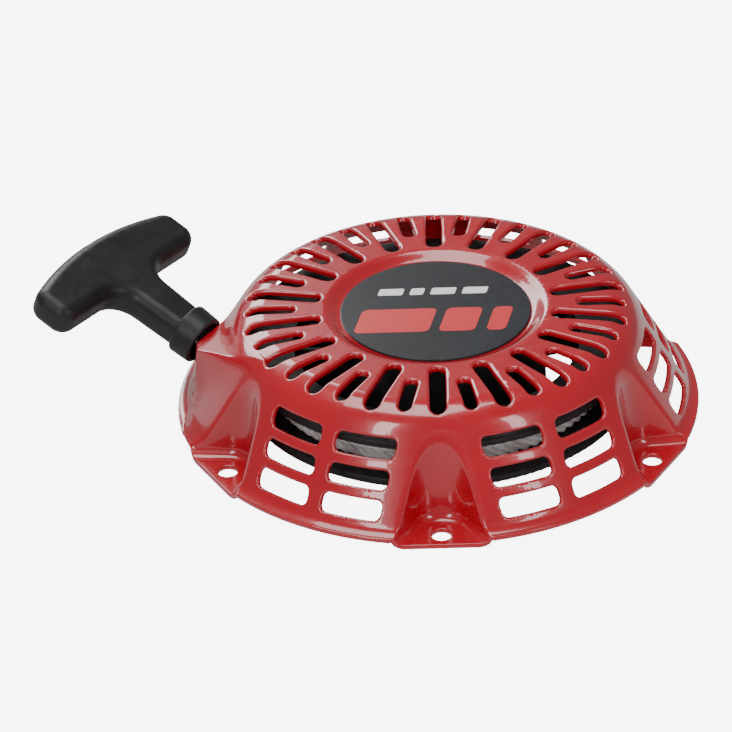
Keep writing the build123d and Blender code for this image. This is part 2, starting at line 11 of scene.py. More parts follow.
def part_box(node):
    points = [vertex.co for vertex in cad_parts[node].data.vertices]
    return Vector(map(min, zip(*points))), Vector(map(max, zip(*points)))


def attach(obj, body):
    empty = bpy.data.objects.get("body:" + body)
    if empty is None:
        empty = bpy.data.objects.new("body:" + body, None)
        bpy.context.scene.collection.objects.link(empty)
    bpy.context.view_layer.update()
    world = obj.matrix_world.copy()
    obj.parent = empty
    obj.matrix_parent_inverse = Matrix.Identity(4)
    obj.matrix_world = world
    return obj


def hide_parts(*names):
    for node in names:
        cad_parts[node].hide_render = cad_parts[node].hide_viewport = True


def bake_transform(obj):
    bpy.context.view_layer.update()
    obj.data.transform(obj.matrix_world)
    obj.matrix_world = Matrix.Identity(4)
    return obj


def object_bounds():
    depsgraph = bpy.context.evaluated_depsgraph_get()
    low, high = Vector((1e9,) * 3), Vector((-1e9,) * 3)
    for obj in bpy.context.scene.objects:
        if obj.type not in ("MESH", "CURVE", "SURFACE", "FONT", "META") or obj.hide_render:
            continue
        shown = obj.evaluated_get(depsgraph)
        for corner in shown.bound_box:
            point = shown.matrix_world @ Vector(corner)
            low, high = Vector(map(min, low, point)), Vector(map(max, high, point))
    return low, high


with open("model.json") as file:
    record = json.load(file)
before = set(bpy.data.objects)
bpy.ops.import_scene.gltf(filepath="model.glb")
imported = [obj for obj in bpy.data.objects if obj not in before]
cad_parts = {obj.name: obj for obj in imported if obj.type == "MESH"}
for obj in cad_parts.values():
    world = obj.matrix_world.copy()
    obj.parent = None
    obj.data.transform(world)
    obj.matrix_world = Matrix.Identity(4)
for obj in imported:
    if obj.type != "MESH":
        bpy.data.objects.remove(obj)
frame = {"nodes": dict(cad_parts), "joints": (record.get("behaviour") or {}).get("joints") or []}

cad_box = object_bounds()

MM = 0.001


# ---------------------------------------------------------------- shader helpers

def new_material(name):
    """Empty Principled material, with its node tree and shader."""
    material = bpy.data.materials.new(name)
    material.use_nodes = True
    tree = material.node_tree
    return material, tree, tree.nodes["Principled BSDF"]


def node(tree, kind, **inputs):
    """New shader node; keyword values are set on inputs, with _ standing for a space."""
    made = tree.nodes.new(kind)
    for key, value in inputs.items():
        made.inputs[key.replace("_", " ")].default_value = value
    return made


def noise(tree, scale, detail=4.0, rough=0.5, stretch=None):
    """Noise in object space, in features per metre, stretched along axes if asked."""
    place = tree.nodes.new("ShaderNodeTexCoord")
    made = node(tree, "ShaderNodeTexNoise", Scale=scale, Detail=detail, Roughness=rough)
    source = place.outputs["Object"]
    if stretch:
        mapping = node(tree, "ShaderNodeMapping", Scale=stretch)
        tree.links.new(source, mapping.inputs["Vector"])
        source = mapping.outputs["Vector"]
    tree.links.new(source, made.inputs["Vector"])
    return made


def ramp(tree, source, stops):
    """Colour ramp fed by a value, from (place, colour or grey) stops."""
    made = tree.nodes.new("ShaderNodeValToRGB")
    tree.links.new(source, made.inputs["Fac"])
    elements = made.color_ramp.elements
    while len(elements) < len(stops):
        elements.new(0.5)
    for element, (place, colour) in zip(elements, stops):
        element.position = place
        element.color = (colour, colour, colour, 1) if isinstance(colour, float) else (*colour, 1)
    return made


def bump(tree, height, strength, distance, under=None):
    """Bump from a height, on top of another bump if given."""
    made = node(tree, "ShaderNodeBump", Strength=strength, Distance=distance)
    tree.links.new(height, made.inputs["Height"])
    if under:
        tree.links.new(under.outputs["Normal"], made.inputs["Normal"])
    return made


def edge_mask(tree, radius):
    """Near 1 on edges tighter than a radius, 0 on open surfaces."""
    soft = node(tree, "ShaderNodeBevel", Radius=radius)
    soft.samples = 4
    true_normal = tree.nodes.new("ShaderNodeNewGeometry")
    facing = tree.nodes.new("ShaderNodeVectorMath")
    facing.operation = "DOT_PRODUCT"
    tree.links.new(soft.outputs["Normal"], facing.inputs[0])
    tree.links.new(true_normal.outputs["Normal"], facing.inputs[1])
    spread = node(tree, "ShaderNodeMapRange", From_Min=0.995, From_Max=0.86, To_Min=0.0, To_Max=1.0)
    tree.links.new(facing.outputs["Value"], spread.inputs["Value"])
    return spread.outputs["Result"]


def mix_colour(tree, amount, first, second):
    """Colour between two, where each is a socket or a plain colour."""
    made = tree.nodes.new("ShaderNodeMix")
    made.data_type = "RGBA"
    for key, value in (("Factor", amount), ("A", first), ("B", second)):
        socket = made.inputs[key]
        if isinstance(value, bpy.types.NodeSocket):
            tree.links.new(value, socket)
        elif isinstance(value, tuple):
            socket.default_value = (*value, 1)
        else:
            socket.default_value = value
    return next(out for out in made.outputs if out.type == "RGBA")


# ---------------------------------------------------------------- materials

def red_paint():
    """Gloss red coat on sheet steel: faint orange peel, thin dust and painted shade that makes sharp edges a
    deeper red.
    """
    material, tree, shader = new_material("red_paint")
    tone = ramp(tree, noise(tree, 18, 3).outputs["Fac"],
                [(0.35, (0.40, 0.004, 0.013)), (0.65, (0.46, 0.006, 0.016))])
    # painted shade: the colour turns a deeper red wherever the edge mask finds a sharp edge
    colour = mix_colour(tree, edge_mask(tree, 0.0005), tone.outputs["Color"], (0.30, 0.003, 0.009))
    tree.links.new(colour, shader.inputs["Base Color"])
    rough = ramp(tree, noise(tree, 160, 6, 0.6).outputs["Fac"], [(0.3, 0.2), (0.75, 0.3)])
    tree.links.new(rough.outputs["Color"], shader.inputs["Roughness"])
    peel = bump(tree, noise(tree, 420, 2, 0.4).outputs["Fac"], 0.06, 0.0002)
    grain = bump(tree, noise(tree, 2600, 2, 0.5).outputs["Fac"], 0.03, 0.0001, peel)
    tree.links.new(grain.outputs["Normal"], shader.inputs["Normal"])
    tree.links.new(peel.outputs["Normal"], shader.inputs["Coat Normal"])
    shader.inputs["Coat Weight"].default_value = 1.0
    shader.inputs["Coat Roughness"].default_value = 0.04
    shader.inputs["Coat IOR"].default_value = 1.5
    return material


def moulded_plastic(name, colour, rough_low, rough_high, grain_scale, grain_depth):
    """Black moulded plastic: fine spark-eroded grain, faint flow marks, and a painted highlight that makes
    sharp edges a little lighter.
    """
    material, tree, shader = new_material(name)
    lighter = tuple(min(1.0, value * 1.9 + 0.006) for value in colour)
    flow = ramp(tree, noise(tree, 60, 5, 0.6, (1, 1, 3)).outputs["Fac"], [(0.3, colour), (0.8, lighter)])
    # painted highlight: a lighter colour on sharp edges, laid on by the edge mask
    edge_highlight = tuple(value * 2.2 + 0.012 for value in colour)
    with_edge_highlight = mix_colour(tree, edge_mask(tree, 0.0009), flow.outputs["Color"], edge_highlight)
    tree.links.new(with_edge_highlight, shader.inputs["Base Color"])
    rough = ramp(tree, noise(tree, 240, 5, 0.6).outputs["Fac"], [(0.3, rough_low), (0.7, rough_high)])
    tree.links.new(rough.outputs["Color"], shader.inputs["Roughness"])
    coarse = bump(tree, noise(tree, 90, 3).outputs["Fac"], 0.12, 0.0004)
    grain = bump(tree, noise(tree, grain_scale, 3, 0.6).outputs["Fac"], 0.35, grain_depth, coarse)
    tree.links.new(grain.outputs["Normal"], shader.inputs["Normal"])
    shader.inputs["Specular IOR Level"].default_value = 0.38
    return material


def worked_metal(name, colour, rough, stretch, scale, stain):
    """Steel with tool marks stretched along one way, and a faint stain."""
    material, tree, shader = new_material(name)
    marks = noise(tree, scale, 5, 0.65, stretch)
    tone = ramp(tree, noise(tree, 140, 4).outputs["Fac"], [(0.3, colour), (0.75, stain)])
    tree.links.new(tone.outputs["Color"], shader.inputs["Base Color"])
    spread = ramp(tree, marks.outputs["Fac"], [(0.3, rough - 0.08), (0.7, rough + 0.12)])
    tree.links.new(spread.outputs["Color"], shader.inputs["Roughness"])
    tree.links.new(bump(tree, marks.outputs["Fac"], 0.25, 0.00008).outputs["Normal"], shader.inputs["Normal"])
    shader.inputs["Metallic"].default_value = 1.0
    return material


def printed_disc():
    """Dark satin label film with a faint emboss."""
    material, tree, shader = new_material("badge_film")
    tone = ramp(tree, noise(tree, 30, 4).outputs["Fac"],
                [(0.3, (0.014, 0.016, 0.019)), (0.7, (0.020, 0.023, 0.027))])
    tree.links.new(tone.outputs["Color"], shader.inputs["Base Color"])
    rough = ramp(tree, noise(tree, 300, 4).outputs["Fac"], [(0.3, 0.30), (0.7, 0.42)])
    tree.links.new(rough.outputs["Color"], shader.inputs["Roughness"])
    emboss = bump(tree, noise(tree, 1500, 2).outputs["Fac"], 0.1, 0.00006)
    tree.links.new(emboss.outputs["Normal"], shader.inputs["Normal"])
    shader.inputs["Specular IOR Level"].default_value = 0.25
    return material


def printed_ink(name, colour):
    """Screen-printed ink: slightly uneven, satin."""
    material, tree, shader = new_material(name)
    darker = tuple(value * 0.86 for value in colour)
    tone = ramp(tree, noise(tree, 420, 5, 0.65).outputs["Fac"], [(0.25, darker), (0.6, colour)])
    tree.links.new(tone.outputs["Color"], shader.inputs["Base Color"])
    shader.inputs["Roughness"].default_value = 0.38
    grain = bump(tree, noise(tree, 2400, 2).outputs["Fac"], 0.12, 0.00004)
    tree.links.new(grain.outputs["Normal"], shader.inputs["Normal"])
    return material


def laid_cord():
    """Off-white nylon cord: yarns wound round each strand with painted shade in the grooves between them,
    soft sheen and a little grime.
    """
    material, tree, shader = new_material("laid_cord")
    along = tree.nodes.new("ShaderNodeUVMap")
    along.uv_map = "yarn"
    yarns = node(tree, "ShaderNodeTexWave", Scale=7.0, Distortion=1.2, Detail=2.0, Detail_Scale=2.0)
    yarns.bands_direction = "DIAGONAL"
    tree.links.new(along.outputs["UV"], yarns.inputs["Vector"])
    grime = ramp(tree, noise(tree, 260, 5, 0.6).outputs["Fac"],
                 [(0.3, (0.80, 0.80, 0.79)), (0.62, (0.95, 0.95, 0.94))])
    # painted shade: the grey goes darker where the yarn wave is low, in the grooves that the bump sinks
    colour = mix_colour(tree, yarns.outputs["Fac"], (0.62, 0.62, 0.61), grime.outputs["Color"])
    tree.links.new(colour, shader.inputs["Base Color"])
    shader.inputs["Roughness"].default_value = 0.62
    shader.inputs["Sheen Weight"].default_value = 0.35
    fuzz = bump(tree, noise(tree, 5200, 3, 0.7).outputs["Fac"], 0.3, 0.0001)
    relief = bump(tree, yarns.outputs["Fac"], 0.7, 0.00025, fuzz)
    tree.links.new(relief.outputs["Normal"], shader.inputs["Normal"])
    return material


RED = red_paint()
GRIP_PLASTIC = moulded_plastic("grip_plastic", (0.006, 0.006, 0.007), 0.36, 0.5, 1500, 0.00012)
REEL_PLASTIC = moulded_plastic("reel_plastic", (0.010, 0.010, 0.011), 0.42, 0.6, 900, 0.00016)
GUIDE_PLASTIC = moulded_plastic("guide_plastic", (0.006, 0.006, 0.007), 0.3, 0.4, 1100, 0.0001)
BADGE = printed_disc()
WHITE_INK = printed_ink("white_ink", (0.80, 0.80, 0.80))
RED_INK = printed_ink("red_ink", (0.62, 0.02, 0.025))
ZINC = worked_metal("zinc_plate", (0.62, 0.60, 0.52), 0.32, (1, 1, 6), 700, (0.52, 0.50, 0.45))
TURNED = worked_metal("turned_steel", (0.50, 0.50, 0.51), 0.28, (1, 1, 14), 500, (0.42, 0.41, 0.40))
SINTERED = worked_metal("sintered_steel", (0.26, 0.26, 0.27), 0.45, (1, 1, 1), 1600, (0.20, 0.19, 0.18))
SPRING = worked_metal("spring_steel", (0.20, 0.22, 0.27), 0.26, (1, 1, 9), 500, (0.12, 0.11, 0.12))
CORD = laid_cord()

FINISH = {
    "starter_case": RED, "case_badge": BADGE, "rope_guide": GUIDE_PLASTIC, "center_post": TURNED,
    "center_screw": ZINC, "screw_washer": ZINC, "rope_reel": REEL_PLASTIC, "recoil_spring": SPRING,
    "pawl_a": SINTERED, "pawl_b": SINTERED, "pawl_spring_a": SPRING, "pawl_spring_b": SPRING,
    "ratchet_plate": ZINC, "friction_spring": SPRING, "starter_grip": GRIP_PLASTIC, "grip_ferrule": ZINC,
}
for name, finish in FINISH.items():
    mesh = frame["nodes"][name].data
    mesh.materials.clear()
    mesh.materials.append(finish)


def middle(name):
    """Middle of a CAD node's box, as an array."""
    low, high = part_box(name)
    return np.array((low + high) / 2)


def joint(name):
    return next(found for found in frame["joints"] if found["name"] == name)


# ---------------------------------------------------------------- drawn case
# The case is one pressed sheet. Its outer face is a height over the plan, in millimetres here:
# a round crown with the rope outlet raised on it and six bolt pockets pressed into it.

case_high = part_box("starter_case")[1]
RIM_R = case_high.x / MM
TOP_Z = case_high.z / MM
SHEET = 1.6
RIM_TOP = 3.8
FLAT_R = 62.0
SHOULDER_R = 14.0
WALL_SLOPE = radians(60)
FLARE_R = 6.0
BADGE_SEAT_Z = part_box("case_badge")[0].z / MM
DISH = (34.6, 40.6)

TABS = 6
TAB_CHORD = 93.7
BOLT_R = 87.3
BOLT_HOLE_R = 3.5
POCKET_NOSE_R = 9.3
POCKET_NOSE_AT = 88.2
POCKET_LEAN = radians(36)
POCKET_DRAFT = radians(86.5)
POCKET_FILLET = 3.6
RIDGE_ROLL = 2.1

OUTLET_END_AZ, OUTLET_END_AT = radians(146), 71.8
OUTLET_SIDE_AZ, OUTLET_SIDE_AT = radians(223.5), 68.4
OUTLET_TOP_AZ, OUTLET_TOP_Z, OUTLET_TOP_RISE = radians(158.5), 29.8, 0.246
OUTLET_FOOT_R, OUTLET_FOOT_Z = 90.0, 7.0
OUTLET_END_STEEP = 8.0
OUTLET_FLANK_CURVE = 1.55
OUTLET_BORE_R = 5.25
OUTLET_FROM_AZ, OUTLET_FROM_FADE = radians(157), radians(7)
OUTLET_TO_AZ, OUTLET_TO_FADE = radians(208), radians(9)
OUTLET_INNER_R, OUTLET_INNER_FADE = 69, 8
OUTLET_BLEND, CROWN_BLEND = 6.0, 5.0
FAR_BELOW = 100

SLOT_PITCH = 10
LONG_SLOT = (42.2, 69.4, 2.8)
SHORT_SLOT = (50.8, 68.5, 2.3)
SLOT_ROLL = 1.1
LIP_DROP = 0.9
LIP_STEP = 0.04
LIP_T = 1.2
SIDE_SLOT_X = (2.9, 24.8)
SIDE_SLOT_ROWS = ((7.5, 13.8), (17.0, 23.0), (26.3, 32.8))
SIDE_SLOT_CORNER = 2.2
CUT_ROLL = 0.7
EDGE_ROLL = 0.5


def smooth(share):
    share = np.clip(share, 0, 1)
    return share ** 2 * (3 - 2 * share)


def soft_min(a, b, width):
    share = np.clip(width - np.abs(a - b), 0, None) / width
    return np.minimum(a, b) - share ** 2 * width / 4


def quarter(radius, run):
    """Drop of a rounded edge of a radius at a distance in from the edge."""
    return radius - np.sqrt(radius ** 2 - np.clip(radius - run, 0, radius) ** 2)


def crown_height(r):
    """Round drawn form: dish, flat top, rolled shoulder, sloping wall and flared rim."""
    shoulder_end = FLAT_R + SHOULDER_R * sin(WALL_SLOPE)
    shoulder = TOP_Z - quarter(SHOULDER_R, FLAT_R + SHOULDER_R - np.clip(r, FLAT_R, None))
    wall = TOP_Z - SHOULDER_R * (1 - cos(WALL_SLOPE)) - (r - shoulder_end) * tan(WALL_SLOPE)
    foot_r = shoulder_end + (TOP_Z - SHOULDER_R * (1 - cos(WALL_SLOPE)) - RIM_TOP) / tan(WALL_SLOPE)
    flare_end = foot_r + FLARE_R * tan(WALL_SLOPE / 2)
    flare = RIM_TOP + quarter(FLARE_R, FLARE_R - np.clip(flare_end - r, 0, FLARE_R))
    height = np.where(r < shoulder_end, shoulder, wall)
    height = np.where(r > flare_end - FLARE_R * sin(WALL_SLOPE), flare, height)
    return height - (TOP_Z - BADGE_SEAT_Z) * (1 - smooth((r - DISH[0]) / (DISH[1] - DISH[0])))


def wall_radius(height):
    shoulder_end = FLAT_R + SHOULDER_R * sin(WALL_SLOPE)
    return shoulder_end + (TOP_Z - SHOULDER_R * (1 - cos(WALL_SLOPE)) - height) / tan(WALL_SLOPE)


def outlet_height(x, y):
    """Raised outlet: a sloping top, a steep end face for the guide and a side that runs down to the rim."""
    azimuth = np.arctan2(y, x) % (2 * pi)
    turn = OUTLET_SIDE_AZ - OUTLET_END_AZ
    tip_across = (OUTLET_SIDE_AT - OUTLET_END_AT * cos(turn)) / sin(turn)
    tip_x = OUTLET_END_AT * cos(OUTLET_END_AZ) - tip_across * sin(OUTLET_END_AZ)
    tip_y = OUTLET_END_AT * sin(OUTLET_END_AZ) + tip_across * cos(OUTLET_END_AZ)
    outward = (x - tip_x) * cos(OUTLET_TOP_AZ) + (y - tip_y) * sin(OUTLET_TOP_AZ)
    top = OUTLET_TOP_Z - OUTLET_TOP_RISE * outward
    to_end = OUTLET_END_AT - x * cos(OUTLET_END_AZ) - y * sin(OUTLET_END_AZ)
    end = middle("rope_guide")[2] / MM + to_end * OUTLET_END_STEEP
    top_r = OUTLET_SIDE_AT / np.clip(np.cos(azimuth - OUTLET_SIDE_AZ), 0.3, None)
    share = (OUTLET_FOOT_R - np.hypot(x, y)) / np.clip(OUTLET_FOOT_R - top_r, 3.0, None)
    side = OUTLET_FOOT_Z + (top - OUTLET_FOOT_Z) * np.sign(share) * np.abs(share) ** OUTLET_FLANK_CURVE
    height = soft_min(soft_min(top, end, OUTLET_BLEND), side, OUTLET_BLEND)
    fade = smooth((azimuth - OUTLET_TO_AZ) / OUTLET_TO_FADE)
    fade += smooth((OUTLET_FROM_AZ - azimuth) / OUTLET_FROM_FADE)
    fade += smooth((OUTLET_INNER_R - np.hypot(x, y)) / OUTLET_INNER_FADE)
    return height - FAR_BELOW * fade


def fold(x, y, sectors, first):
    """Points turned into the sector of a ring that starts at an azimuth, with that sector's number."""
    step = 2 * pi / sectors
    index = np.round((np.arctan2(y, x) - first) / step)
    back = -(first + index * step)
    out = x * np.cos(back) - y * np.sin(back)
    across = x * np.sin(back) + y * np.cos(back)
    return out, across, index.astype(int) % sectors


def pocket_distance(x, y):
    """Distance from the nearest bolt pocket's outline, negative inside it."""
    out, across, _ = fold(x, y, TABS, -pi / 2)
    across, out = np.abs(across), out - POCKET_NOSE_AT
    by_wall = across * cos(POCKET_LEAN) - out * sin(POCKET_LEAN)
    by_nose = np.hypot(across, out)
    return np.where(across * sin(POCKET_LEAN) + out * cos(POCKET_LEAN) > 0, by_wall, by_nose) - POCKET_NOSE_R


def pocket_wall(run):
    """Height of the pocket's steep wall and its fillet, from how far out from the floor's edge it is."""
    bend_end = POCKET_FILLET * sin(POCKET_DRAFT)
    bend = quarter(POCKET_FILLET, POCKET_FILLET - np.clip(run, 0, bend_end))
    return SHEET + bend + np.clip(run - bend_end, 0, None) * tan(POCKET_DRAFT)


def pocket_run(height):
    """Where the pocket's wall reaches a height: pocket_wall turned round."""
    above = np.clip(height - SHEET, 0, None)
    bend_height = POCKET_FILLET * (1 - cos(POCKET_DRAFT))
    in_bend = np.sqrt(POCKET_FILLET ** 2 - (POCKET_FILLET - np.clip(above, 0, bend_height)) ** 2)
    return in_bend + np.clip(above - bend_height, 0, None) / tan(POCKET_DRAFT)


def case_height(x, y):
    """The crown with its outlet, cut down to the pockets with a rolled ridge between the two."""
    form = -soft_min(-crown_height(np.hypot(x, y)), -outlet_height(x, y), CROWN_BLEND)
    roll = np.clip(0.3 * (form - SHEET), 0.3, RIDGE_ROLL)
    run = pocket_distance(x, y) + POCKET_FILLET / 2
    beyond = run - pocket_run(form - roll)
    return np.where(beyond > 0, form - quarter(roll, np.clip(beyond, 0, None)), pocket_wall(run))


def case_normal(x, y):
    near = 0.02
    slope_x = (case_height(x + near, y) - case_height(x - near, y)) / (2 * near)
    slope_y = (case_height(x, y + near) - case_height(x, y - near)) / (2 * near)
    normal = np.stack([-slope_x, -slope_y, np.ones_like(x)], 1)
    return normal / np.linalg.norm(normal, axis=1)[:, None]


def top_slot_distance(x, y):
    out, across, index = fold(x, y, 360 // SLOT_PITCH, -pi / 2)
    start, end, half = np.where((index % 2 == 1)[:, None], SHORT_SLOT, LONG_SLOT).T
    return np.hypot(out - np.clip(out, start + half, end - half), across) - half


def side_slot_distance(x, y):
    """Distance from the nearest side slot, measured in its own upright plane."""
    out, across, index = fold(x, y, TABS, -2 * pi / 3)
    height = crown_height(np.hypot(x, y))
    middle_x, half_x = sum(SIDE_SLOT_X) / 2, (SIDE_SLOT_X[1] - SIDE_SLOT_X[0]) / 2
    nearest = np.full(x.shape, 1e3)
    for low, high in SIDE_SLOT_ROWS:
        over_x = np.abs(np.abs(across) - middle_x) - half_x + SIDE_SLOT_CORNER
        over_z = np.abs(height - (low + high) / 2) - (high - low) / 2 + SIDE_SLOT_CORNER
        outside = np.hypot(np.clip(over_x, 0, None), np.clip(over_z, 0, None))
        inside = np.clip(np.maximum(over_x, over_z), None, 0)
        nearest = np.minimum(nearest, outside + inside - SIDE_SLOT_CORNER)
    return np.where(index == TABS - 1, 1e3, nearest)


def rim_distance(x, y):
    out, across, _ = fold(x, y, TABS, -pi / 2)
    return np.minimum(RIM_R - np.hypot(x, y), TAB_CHORD - out)


def bolt_distance(x, y):
    out, across, _ = fold(x, y, TABS, -pi / 2)
    return np.hypot(out - BOLT_R, across) - BOLT_HOLE_R


def bore_distance(x, y):
    """Distance from the guide bore in the steep end face, measured in that face."""
    across = -x * sin(OUTLET_END_AZ) + y * cos(OUTLET_END_AZ) - bore_across
    return np.where(np.abs(x * cos(OUTLET_END_AZ) + y * sin(OUTLET_END_AZ) - OUTLET_END_AT) < 2.5,
                    np.hypot(across, case_height(x, y) - bore_z) - OUTLET_BORE_R, 1e3)


guide = middle("rope_guide") / MM
bore_across = -guide[0] * sin(OUTLET_END_AZ) + guide[1] * cos(OUTLET_END_AZ)
bore_z = guide[2]


def turned(points, azimuth):
    """Plan points given as (out, across) turned to an azimuth."""
    out, across = points.T
    x = out * cos(azimuth) - across * sin(azimuth)
    y = out * sin(azimuth) + across * cos(azimuth)
    return np.stack([x, y], 1)


def top_slot(size, azimuth, grow):
    """Outline of a slot with round ends, grown by a distance."""
    start, end, half = size
    angle = np.linspace(-pi / 2, pi / 2, 14)
    cap = (half + grow) * np.stack([np.cos(angle), np.sin(angle)], 1)
    far, near = cap + (end - half, 0), -cap + (start + half, 0)
    sides = np.linspace(0, 1, 10)[1:-1, None]
    back, forth = far[-1] + sides * (near[0] - far[-1]), near[-1] + sides * (far[0] - near[-1])
    return turned(np.concatenate([far, back, near, forth]), azimuth)


def side_slot(low, high, mirrored, azimuth, grow):
    """Side slot outline grown by a distance, laid back onto the sloping wall."""
    corner = SIDE_SLOT_CORNER + grow
    half_x, half_z = (SIDE_SLOT_X[1] - SIDE_SLOT_X[0]) / 2 + grow, (high - low) / 2 + grow
    outline = []
    for sx, sz, first in ((1, 1, 0), (-1, 1, 1), (-1, -1, 2), (1, -1, 3)):
        angle = (first + np.linspace(0, 1, 6)) * pi / 2
        outline.append(np.stack([sx * (half_x - corner) + corner * np.cos(angle),
                                 sz * (half_z - corner) + corner * np.sin(angle)], 1))
    corners = np.concatenate(outline)
    filled = []
    for here, there in zip(corners, np.roll(corners, -1, axis=0)):
        pieces = max(1, round(np.linalg.norm(there - here) / 1.3))
        filled += [here + (there - here) * piece / pieces for piece in range(pieces)]
    across, height = np.array(filled).T
    across = (across + sum(SIDE_SLOT_X) / 2) * (-1 if mirrored else 1)
    r = wall_radius(height + (low + high) / 2)
    return turned(np.stack([np.sqrt(r ** 2 - across ** 2), across], 1), azimuth)


def bolt_hole(azimuth, grow, count=28):
    angle = np.arange(count) * 2 * pi / count
    radius = BOLT_HOLE_R + grow
    return turned(np.stack([BOLT_R + radius * np.cos(angle), radius * np.sin(angle)], 1), azimuth)


def rim(inset, count=600):
    """Outline of the flange and its six straight tab ends, set in by a distance."""
    angle = np.arange(count) * 2 * pi / count
    _, _, index = fold(np.cos(angle), np.sin(angle), TABS, -pi / 2)
    off_tab = angle + pi / 2 - index * 2 * pi / TABS
    r = np.minimum(RIM_R - inset, (TAB_CHORD - inset) / np.cos(off_tab))
    return np.stack([r * np.cos(angle), r * np.sin(angle)], 1)


def roll_steps(radius):
    """Distances from a rounded edge that lie evenly around it."""
    return [radius * (1 - sin(radians(angle))) for angle in (90, 72, 54, 36, 18, 0)]


def guide_bore(grow, count=32):
    """Outline of the bore in the steep end face, as it looks in the plan."""
    angle = np.arange(count) * 2 * pi / count
    radius = OUTLET_BORE_R + grow
    across = bore_across + radius * np.cos(angle)
    outward = OUTLET_END_AT - radius * np.sin(angle) / OUTLET_END_STEEP
    return turned(np.stack([outward, across], 1), OUTLET_END_AZ)


def case_loops():
    """Each cut outline as a function of how far it is grown, with its edge radius."""
    loops = []
    for index in range(360 // SLOT_PITCH):
        size = SHORT_SLOT if index % 2 else LONG_SLOT
        loops.append((partial(top_slot, size, radians(-90 + SLOT_PITCH * index)), SLOT_ROLL))
    for index in range(TABS - 1):
        azimuth = radians(-120 + 60 * index)
        for low, high in SIDE_SLOT_ROWS:
            for mirrored in (False, True):
                loops.append((partial(side_slot, low, high, mirrored, azimuth), CUT_ROLL))
    for index in range(TABS):
        loops.append((partial(bolt_hole, radians(-90 + 60 * index)), EDGE_ROLL))
    loops.append((guide_bore, EDGE_ROLL))
    return loops


PATCH_STEP = 0.54
PATCH_AZ, PATCH_FROM_R = (radians(154), radians(207)), 66
POCKET_BAND_AT, POCKET_BAND = 2.0, 4.8


def on_outlet(points):
    """Whether each point lies where the fine patch goes."""
    azimuth = np.arctan2(points[:, 1], points[:, 0]) % (2 * pi)
    return (azimuth > PATCH_AZ[0]) & (azimuth < PATCH_AZ[1]) & (np.hypot(*points.T) > PATCH_FROM_R)


def off_pockets(points):
    """Whether each point lies outside the band that the pocket rings cover."""
    return np.abs(pocket_distance(*points.T) - POCKET_BAND_AT) > POCKET_BAND


def fill_points():
    """Points between the cuts: rings along the pocket walls, a fine patch on the outlet and a polar grid."""
    sets = []
    reach = pi / 2 - POCKET_LEAN
    angle = np.linspace(-reach, reach, 24)
    runs = np.concatenate([np.arange(-2.6, 1.8, 0.4), np.arange(1.8, 3.75, 0.1), np.arange(3.9, 6.6, 0.4)])
    for run in runs:
        radius = POCKET_NOSE_R + run
        nose = np.stack([POCKET_NOSE_AT - radius * np.cos(angle), radius * np.sin(angle)], 1)
        along = np.arange(1.1, 18, 1.1)[:, None] * (cos(POCKET_LEAN), sin(POCKET_LEAN))
        wall = nose[-1] + along
        ring = np.concatenate([nose, wall, wall * (1, -1)])
        for index in range(TABS):
            sets.append(turned(ring, radians(-90 + 60 * index)))
    pocket_points = np.concatenate(sets)
    span_x, span_y = np.arange(-95, -55, PATCH_STEP), np.arange(-40, 32, PATCH_STEP)
    patch = np.stack(np.meshgrid(span_x, span_y), -1).reshape(-1, 2)
    patch = patch[on_outlet(patch) & off_pockets(patch)]
    rings = []
    radii = np.concatenate([np.arange(1.5, 33.5, 3.2), np.arange(34.2, 41.2, 0.5), np.arange(42.2, 61.5, 1.5),
                            np.arange(62, 74, 0.9), np.arange(74.2, 90, 0.62), np.arange(90.4, 94.6, 0.5)])
    for order, r in enumerate(radii):
        count = max(6, int(2 * pi * r / (1.65 if r > 41 else 2.4)))
        angle = (np.arange(count) + 0.5 * (order % 2)) * 2 * pi / count
        rings.append(np.stack([r * np.cos(angle), r * np.sin(angle)], 1))
    grid = np.concatenate(rings)
    grid = grid[~on_outlet(grid) & off_pockets(grid)]
    points = np.concatenate([pocket_points, patch, grid])
    x, y = points.T
    clear = (top_slot_distance(x, y) > SLOT_ROLL + 0.7) & (side_slot_distance(x, y) > CUT_ROLL + 0.5)
    clear &= (bolt_distance(x, y) > EDGE_ROLL + 0.6) & (rim_distance(x, y) > EDGE_ROLL + 0.4)
    clear &= bore_distance(x, y) > EDGE_ROLL + 0.8
    return points[clear]


def facing_up(outline):
    """Outline in counterclockwise order."""
    x, y = outline.T
    area = np.sum(x * np.roll(y, -1) - y * np.roll(x, -1))
    return outline if area > 0 else outline[::-1]


def case_plan():
    """Triangles over the plan between the cuts."""
    outlines, rings = [rim(0)], [rim(step) for step in roll_steps(EDGE_ROLL)[1:]]
    for outline, roll in case_loops():
        lipped = roll == SLOT_ROLL
        outlines.append(facing_up(outline(-LIP_STEP if lipped else 0.0)))
        rings += [outline(step) for step in (roll_steps(roll) + [roll + 0.4])[0 if lipped else 1:]]
    rings = np.concatenate(rings)
    rings = rings[rim_distance(*rings.T) > 0.03]
    plan = np.concatenate(outlines + [rings, fill_points()])
    starts = np.cumsum([0] + [len(outline) for outline in outlines])
    faces = [list(range(start, end)) for start, end in zip(starts[:-1], starts[1:])]
    points = [Vector(point) for point in plan.tolist()]
    made = mathutils.geometry.delaunay_2d_cdt(points, [], faces, 0, 1e-6, True)
    plan = np.array([tuple(point) for point in made[0]])
    triangles = np.array([face for face, inside in zip(made[2], made[5]) if list(inside) == [0]])
    kept, triangles = np.unique(triangles, return_inverse=True)
    return plan[kept], triangles.reshape(-1, 3)


def vertex_normals(points, triangles):
    """Area-weighted normals of a triangle mesh."""
    corners = points[triangles]
    face = np.cross(corners[:, 1] - corners[:, 0], corners[:, 2] - corners[:, 0])
    normal = np.zeros_like(points)
    for corner in range(3):
        np.add.at(normal, triangles[:, corner], face)
    return normal / np.linalg.norm(normal, axis=1)[:, None]


